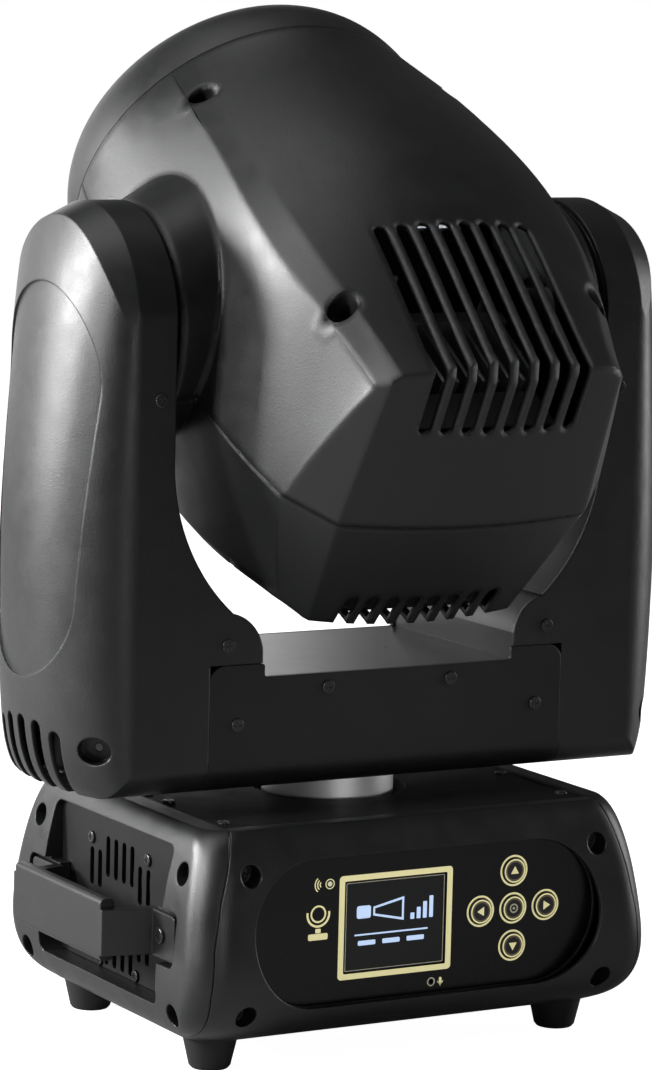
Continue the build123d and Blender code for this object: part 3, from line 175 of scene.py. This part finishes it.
BLACK = (0.0070, 0.0073, 0.0078)


def moulded(rough, **more):
    """Black grained plastic."""
    return dict(color=BLACK, rough=rough, grain=2000.0, depth=0.00015, strength=0.6) | more


def metal(color, rough, **more):
    """Bare metal."""
    return dict(color=color, rough=rough, metallic=1.0) | more


FINISHES = {
    "case_plastic": moulded(0.37, edge=0.0012),
    "arm_plastic": moulded(0.37, edge=0.0014),
    "head_plastic": moulded(0.37, edge=0.0050, wear=0.2),
    "bezel_plastic": dict(color=shade(BLACK, 0.9), rough=0.44, edge=0.0010, grain=1500.0, strength=0.5),
    "handle_plastic": dict(color=shade(BLACK, 0.85), rough=0.40, edge=0.0012, grain=1300.0, strength=0.45),
    "plate_paint": dict(color=(0.006, 0.006, 0.0066), rough=0.58, specular=0.20, grain=2200.0, strength=0.5),
    "crossbar_paint": dict(color=(0.0060, 0.0062, 0.0066), rough=0.45, specular=0.38, edge=0.0008,
                           strength=0.5),
    "frame_paint": dict(color=(0.014, 0.014, 0.015), rough=0.29, edge=0.0006, grain=2400.0, strength=0.2,
                        spread=0.02, tone=0.08),
    "panel_gloss": dict(color=(0.0022, 0.0023, 0.0026), rough=0.26, specular=0.3, edge=0.0003,
                        grain=2600.0, strength=0.1, spread=0.04, wear=0.1),
    "screen_glass": dict(color=(0.003, 0.0035, 0.005), rough=0.12, specular=0.35, edge=0.0003,
                         grain=3000.0, strength=0.02, spread=0.03, coat=0.1, wear=0.05),
    "key_plastic": dict(color=(0.012, 0.012, 0.013), rough=0.38, edge=0.0004, grain=2400.0, strength=0.3),
    "screw_black": dict(color=(0.055, 0.055, 0.057), rough=0.26, metallic=0.8, edge=0.0004, grain=2000.0,
                        strength=0.25, wear=0.9),
    "rubber_black": dict(color=(0.010, 0.010, 0.0105), rough=0.62, specular=0.3, edge=0.0010, grain=900.0,
                         strength=0.5, tone=0.25),
    "belt_rubber": dict(color=(0.014, 0.014, 0.014), rough=0.7, specular=0.25, grain=1200.0, strength=0.6),
    "shaft_steel": metal((0.86, 0.86, 0.865), 0.50, metallic=0.8, grain=900.0, depth=0.00005, strength=0.22,
                         brushed=(1.0, 1.0, 9.0), tone=0.06, wear=0.1),
    "bearing_steel": metal((0.50, 0.50, 0.51), 0.24, grain=1300.0, strength=0.15),
    "pulley_metal": metal((0.62, 0.63, 0.65), 0.34, grain=1500.0, strength=0.25),
    "motor_steel": dict(color=(0.05, 0.05, 0.053), rough=0.40, metallic=0.4, grain=1500.0, strength=0.3),
    "supply_case": metal((0.55, 0.56, 0.58), 0.38, grain=500.0, strength=0.2, brushed=(0.06, 1.0, 1.0)),
    "connector_plastic": dict(color=(0.011, 0.011, 0.012), rough=0.33, grain=2000.0, strength=0.2),
    "heat_sink_metal": metal((0.42, 0.43, 0.45), 0.42, grain=500.0, strength=0.25,
                             brushed=(1.0, 0.08, 0.08)),
    "led_board": dict(color=(0.62, 0.60, 0.52), rough=0.45, grain=900.0, strength=0.2),
    "fan_plastic": dict(color=(0.016, 0.016, 0.017), rough=0.36, grain=1800.0, strength=0.25),
    "wheel_metal": metal((0.55, 0.55, 0.57), 0.36, grain=1300.0, strength=0.2),
    "carriage_metal": metal((0.42, 0.42, 0.44), 0.36, grain=1300.0, strength=0.2),
}
slots = {name: finish_of(name, **values) for name, values in FINISHES.items()}


def circuit_board():
    """Green solder mask with copper runs under it and rows of pale pads."""
    n = Nodes("circuit_board")
    runs = n.maths("PINGPONG", n.cells(260.0), 0.12)
    lines = n.remap(runs, 0.045, 0.06)
    pads = n.remap(n.cells(420.0), 0.16, 0.12)
    drift = n.noise(30.0)
    mask = n.mix(n.remap(drift, 0.35, 0.65), (0.012, 0.085, 0.035), (0.018, 0.12, 0.05))
    base = n.mix(lines, mask, (0.03, 0.19, 0.08))
    base = n.mix(n.maths("MULTIPLY", pads, 0.7), base, (0.62, 0.60, 0.52))
    n.link(base, n.bsdf.inputs["Base Color"])
    n.link(n.remap(drift, 0.3, 0.7, 0.28, 0.42), n.bsdf.inputs["Roughness"])
    n.link(n.bump(lines, 0.00005, 0.4, n.bevel(0.0003)), n.bsdf.inputs["Normal"])
    return n.mat


def lens_glass():
    """Clear front lens with a faint coating tint and a little dust."""
    n = Nodes("lens_glass")
    dust = n.remap(n.noise(420.0, 6.0, 0.7), 0.5, 0.8)
    n.link(n.remap(dust, 0.0, 1.0, 0.02, 0.16), n.bsdf.inputs["Roughness"])
    tint = n.mix(n.remap(n.noise(14.0), 0.3, 0.7), (0.93, 0.96, 0.98), (0.88, 0.94, 0.97))
    n.link(tint, n.bsdf.inputs["Base Color"])
    n.set(Transmission_Weight=1.0, IOR=1.5, Coat_Weight=0.3)
    return n.mat


slots["circuit_board"] = circuit_board()
slots["lens_glass"] = lens_glass()

SMOOTH_ANGLE = math.radians(28)
slot_of = {s["node"]: s["material_slot"] for s in frame["record"]["subparts"]}
for name, node in nodes.items():
    for held in node.material_slots:
        held.material = slots[slot_of[name]]
    node.data.polygons.foreach_set("use_smooth", [True] * len(node.data.polygons))
    node.data.set_sharp_from_angle(angle=SMOOTH_ANGLE)


def ink(name, color, rough=0.5, grain=5000.0, strength=0.1, tone=0.05, glow=None):
    """A thin printed or lit mark; glow is (color, strength): the light of a real lamp or screen, or a
    painted glow on print.
    """
    return finish_of(name, color, rough, edge=0.0001, grain=grain, strength=strength, tone=tone,
                     emission=glow)


# cream printed ink with a painted glow: the print is made to shine although it is no lamp
cream_print_painted_glow = ink("cream_print_painted_glow", (0.85, 0.78, 0.42), glow=((0.80, 0.74, 0.38), 0.42))
ink_brown = ink("ink_brown", (0.22, 0.17, 0.10), tone=0.1)
ink_silver = ink("ink_silver", (0.75, 0.70, 0.52), 0.4, tone=0.08)
lamp_green = ink("lamp_green", (0.80, 0.84, 0.60), 0.3, glow=((0.75, 0.80, 0.55), 0.3))
screen_light = ink("screen_light", (0.55, 0.68, 0.90), 0.4, grain=4000.0, strength=0.02,
                   glow=((0.50, 0.66, 0.95), 0.62))


# ------------------------------------------------------------------ printed marks
def circle_points(cx, cz, radius, count=48):
    turns = [2 * math.pi * i / count for i in range(count)]
    return [(cx + radius * math.cos(t), cz + radius * math.sin(t)) for t in turns]


def round_rect(cx, cz, width, height, radius, steps=6):
    points = []
    for sx, sz, start in ((1, 1, 0), (-1, 1, 90), (-1, -1, 180), (1, -1, 270)):
        for k in range(steps + 1):
            angle = math.radians(start + 90 * k / steps)
            points.append((cx + sx * (width / 2 - radius) + radius * math.cos(angle),
                           cz + sz * (height / 2 - radius) + radius * math.sin(angle)))
    return points


def arc_band(cx, cz, inner, outer, start, end, steps=12):
    """Outline of a curved stripe between two radii, from start to end degrees."""
    angles = [math.radians(start + (end - start) * k / steps) for k in range(steps + 1)]
    return ([(cx + outer * math.cos(t), cz + outer * math.sin(t)) for t in angles]
            + [(cx + inner * math.cos(t), cz + inner * math.sin(t)) for t in reversed(angles)])


def ring(cx, cz, outer, inner):
    """A round shape with a round hole."""
    return (circle_points(cx, cz, outer), circle_points(cx, cz, inner))


INK = 0.12    # thickness of a printed mark, mm


def flat_mark(name, shapes, y_face, material, body):
    """Thin closed marks lying on a face that looks to -Y; a shape is (outline, hole or None), in mm."""
    mesh_of = bmesh.new()
    for outline, hole in shapes:
        rims = []
        for y in (y_face, y_face - INK):
            outer = [mesh_of.verts.new((x * MM, y * MM, z * MM)) for x, z in outline]
            inner = [mesh_of.verts.new((x * MM, y * MM, z * MM)) for x, z in hole] if hole else None
            rims.append((outer, inner))
        (back, back_in), (front, front_in) = rims
        count = len(outline)
        for i in range(count):
            j = (i + 1) % count
            mesh_of.faces.new((back[i], back[j], front[j], front[i]))
            if hole:
                mesh_of.faces.new((back_in[j], back_in[i], front_in[i], front_in[j]))
                mesh_of.faces.new((front[i], front[j], front_in[j], front_in[i]))
                mesh_of.faces.new((back[j], back[i], back_in[i], back_in[j]))
        if not hole:
            mesh_of.faces.new(front)
            mesh_of.faces.new(back[::-1])
    bmesh.ops.recalc_face_normals(mesh_of, faces=mesh_of.faces)
    mesh = bpy.data.meshes.new(name)
    mesh_of.to_mesh(mesh)
    mesh_of.free()
    piece = bpy.data.objects.new(name, mesh)
    bpy.context.scene.collection.objects.link(piece)
    mesh.materials.append(material)
    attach(piece, body)
    return piece


PANEL_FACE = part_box("control_panel")[0].y / MM
SCREEN_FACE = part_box("display_module")[0].y / MM
KEY_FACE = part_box("key_centre")[0].y / MM


# marks default to the cream print, which carries a painted glow
def on_panel(name, shapes, material=cream_print_painted_glow):
    flat_mark(name, shapes, PANEL_FACE, material, "base")


def on_screen(name, shapes, material):
    flat_mark(name, shapes, SCREEN_FACE, material, "base")


def on_key(key, part, shapes, material):
    flat_mark(key + part, shapes, KEY_FACE, material, key + "_body")


# frame printed round the display window
SCREEN_X, SCREEN_Z = -16.3, 71.6
on_panel("screen_frame_print", [(round_rect(SCREEN_X, SCREEN_Z, 65.0, 52.4, 2.0),
                                 round_rect(SCREEN_X, SCREEN_Z, 58.9, 46.7, 0.8))])

# rings on and round the keys, with an arrow on the four outer ones
ARROW = [(2.4, 0.0), (-1.5, 2.3), (-1.5, -2.3)]
KEYS = {"key_centre": None, "key_up": 90, "key_down": -90, "key_left": 180, "key_right": 0}
for key, direction in KEYS.items():
    low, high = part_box(key)
    x, z = (low.x + high.x) / 2 / MM, (low.z + high.z) / 2 / MM
    on_panel(key + "_outer_ring", [ring(x, z, 8.0, 7.0)])
    on_key(key, "_cap_ring", [ring(x, z, 6.05, 5.3)], cream_print_painted_glow)
    on_key(key, "_inner_ring", [ring(x, z, 5.0, 4.4)], ink_brown)
    if direction is None:
        on_key(key, "_mark", [ring(x, z, 2.4, 1.7), (circle_points(x, z, 0.7, 24), None)], ink_silver)
    else:
        turn = math.radians(direction)
        cosine, sine = math.cos(turn), math.sin(turn)
        outline = [(x + a * cosine - b * sine, z + a * sine + b * cosine) for a, b in ARROW]
        on_key(key, "_arrow", [(outline, None)], cream_print_painted_glow)

# indicator with radio waves, left above the screen
LAMP_X, LAMP_Z = -54.3, 94.6
WAVES_X = LAMP_X - 4.1
on_panel("indicator_ring", [ring(LAMP_X, LAMP_Z, 2.6, 2.1)])
on_panel("indicator_lamp", [(circle_points(LAMP_X, LAMP_Z, 1.25), None)], lamp_green)
on_panel("indicator_waves", [(arc_band(WAVES_X, LAMP_Z, radius, radius + 0.6, 130, 230), None)
                             for radius in (1.2, 2.6, 4.0)])

# small moving lamp, left of the screen
ICON_X = -60.5
on_panel("lamp_pictogram", [ring(ICON_X, 80.0, 4.4, 3.5),
                            (arc_band(ICON_X, 80.0, 5.6, 6.7, 170, 370, 20), None),
                            (round_rect(ICON_X, 71.6, 3.0, 2.2, 0.4), None),
                            (round_rect(ICON_X, 68.6, 11.0, 3.2, 0.8), None)])

# microphone hole below the screen
MIC_X = 10.6
on_panel("microphone_ring", [ring(5.2, 39.6, 2.3, 1.6)], ink_silver)
on_panel("microphone_pictogram", [(round_rect(MIC_X, 40.2, 1.5, 2.8, 0.7), None),
                                  (arc_band(MIC_X, 39.9, 1.35, 1.7, 190, 350), None),
                                  (round_rect(MIC_X, 37.7, 0.4, 0.9, 0.1), None)])

# picture on the display: a lamp with its beam, level bars and menu strips
BORDER = (round_rect(SCREEN_X, SCREEN_Z, 56.4, 44.4, 0.5), round_rect(SCREEN_X, SCREEN_Z, 55.8, 43.8, 0.4))
BEAM_OUTER = [(5.0, 13.0), (-12.6, 9.2), (-12.6, 4.8), (5.0, 1.0)]
BEAM_INNER = [(3.9, 11.6), (-11.6, 8.3), (-11.6, 5.7), (3.9, 2.4)]


def from_middle(points):
    return [(SCREEN_X + a, SCREEN_Z + b) for a, b in points]


def tile(a, b, width, height, radius):
    return (round_rect(SCREEN_X + a, SCREEN_Z + b, width, height, radius), None)


on_screen("screen_border", [BORDER], ink_silver)
on_screen("screen_picture", [tile(-18.0, 7.0, 8.0, 6.4, 1.2),
                             (from_middle(BEAM_OUTER), from_middle(BEAM_INNER)),
                             tile(-2.0, -4.4, 42.0, 0.8, 0.2),
                             *[tile(10.0 + 3.6 * k, 2.6 + 1.3 * k, 2.2, 3.2 + 2.6 * k, 0.3)
                               for k in range(4)],
                             *[tile(-16.0 + 14.0 * k, -8.6, 10.0, 2.4, 0.6) for k in range(3)]],
          screen_light)


# ------------------------------------------------------------------ camera
# the eye is in metres; heading, pitch and roll are in radians
EYE = (-1.05444, -1.82793, 0.53285)
HEADING, PITCH, ROLL = 0.5221, 0.1336, 0.0249
FOCAL_LENGTH = 139.87
SHIFT = (-0.00236, 0.00496)

forward = Vector((math.sin(HEADING) * math.cos(PITCH),
                  math.cos(HEADING) * math.cos(PITCH),
                  -math.sin(PITCH)))
level = Vector((math.cos(HEADING), -math.sin(HEADING), 0.0))
upward = level.cross(forward)
right = level * math.cos(ROLL) + upward * math.sin(ROLL)
up = upward * math.cos(ROLL) - level * math.sin(ROLL)
camera = bpy.data.objects.new("camera", bpy.data.cameras.new("camera"))
bpy.context.scene.collection.objects.link(camera)
camera.matrix_world = Matrix((
    (right.x, up.x, -forward.x, EYE[0]),
    (right.y, up.y, -forward.y, EYE[1]),
    (right.z, up.z, -forward.z, EYE[2]),
    (0.0, 0.0, 0.0, 1.0)))
camera.data.sensor_width = 36.0
camera.data.lens = FOCAL_LENGTH
camera.data.shift_x, camera.data.shift_y = SHIFT
bpy.context.scene.camera = camera


# ------------------------------------------------------------------ floor and light
def hang(name, lamp, place, target, power):
    """Put a lamp at a place, aimed at a target."""
    lamp.energy = power
    holder = bpy.data.objects.new(name, lamp)
    bpy.context.scene.collection.objects.link(holder)
    holder.location = place
    holder.rotation_mode = "QUATERNION"
    holder.rotation_quaternion = (Vector(target) - Vector(place)).to_track_quat("-Z", "Y")


def soft_box(name, place, target, width, height, power):
    lamp = bpy.data.lights.new(name, "AREA")
    lamp.shape = "RECTANGLE"
    lamp.size, lamp.size_y = width, height
    hang(name, lamp, place, target, power)


def narrow_lamp(name, place, target, cone, power):
    lamp = bpy.data.lights.new(name, "SPOT")
    lamp.spot_size, lamp.spot_blend = math.radians(cone), 1.0
    lamp.shadow_soft_size = 0.10
    hang(name, lamp, place, target, power)


narrow_lamp("collar_lamp", (0.10, -1.8, 0.24), (0.0, 0.0, 0.131), 5.0, 34.0)
soft_box("left_box", (-1.50, 0.95, 0.66), (-0.1, 0.0, 0.33), 0.46, 0.50, 50.0)
soft_box("side_box", (-1.75, 0.0, 0.86), (-0.1, 0.0, 0.36), 0.30, 0.40, 29.0)
soft_box("high_box", (-1.3, 0.0, 1.75), (-0.08, -0.1, 0.40), 0.7, 0.7, 9.0)
soft_box("right_box", (1.9, -0.25, 0.52), (0.1, 0.0, 0.30), 0.8, 1.0, 14.0)
soft_box("top_box", (-0.3, 0.2, 2.2), (0.0, 0.0, 0.2), 1.4, 1.4, 9.0)
soft_box("front_box", (-0.28, -1.7, 0.36), (0.0, 0.0, 0.13), 0.30, 0.30, 2.2)
soft_box("back_box", (-0.1, 2.4, 0.75), (0.0, 0.0, 0.25), 3.0, 1.3, 17.0)

# white for the camera, dim for the light it gives, as behind a lit sweep of paper
GIVEN_LIGHT, SEEN_LIGHT = 0.075, 1.0
FLOOR_GLOW = 0.975
world = bpy.data.worlds.new("studio")
bpy.context.scene.world = world
world.use_nodes = True
sky = world.node_tree
seen = sky.nodes.new("ShaderNodeLightPath").outputs["Is Camera Ray"]
level_of = sky.nodes.new("ShaderNodeMapRange")
level_of.inputs["To Min"].default_value = GIVEN_LIGHT
level_of.inputs["To Max"].default_value = SEEN_LIGHT
sky.links.new(seen, level_of.inputs["Value"])
sky.nodes["Background"].inputs["Color"].default_value = (1.0, 1.0, 1.0, 1.0)
sky.links.new(level_of.outputs["Result"], sky.nodes["Background"].inputs["Strength"])

floor_mesh = bpy.data.meshes.new("floor")
HALF_FLOOR = 8.0
corners = [(x * HALF_FLOOR, y * HALF_FLOOR, 0) for x, y in ((-1, -1), (1, -1), (1, 1), (-1, 1))]
floor_mesh.from_pydata(corners, [], [(0, 1, 2, 3)])
floor = bpy.data.objects.new("floor", floor_mesh)
bpy.context.scene.collection.objects.link(floor)
paper = Nodes("floor_paper")
tone_of_paper = paper.mix(paper.noise(3.0), (0.38, 0.38, 0.38), (0.42, 0.42, 0.42))
paper.link(tone_of_paper, paper.bsdf.inputs["Base Color"])
glow = paper.tree.nodes.new("ShaderNodeLightPath").outputs["Is Camera Ray"]
paper.link(paper.maths("MULTIPLY", glow, FLOOR_GLOW), paper.bsdf.inputs["Emission Strength"])
paper.set(Roughness=0.9, Emission_Color=(1.0, 1.0, 1.0, 1.0))
floor_mesh.materials.append(paper.mat)
bpy.context.scene.view_settings.view_transform = "Standard"
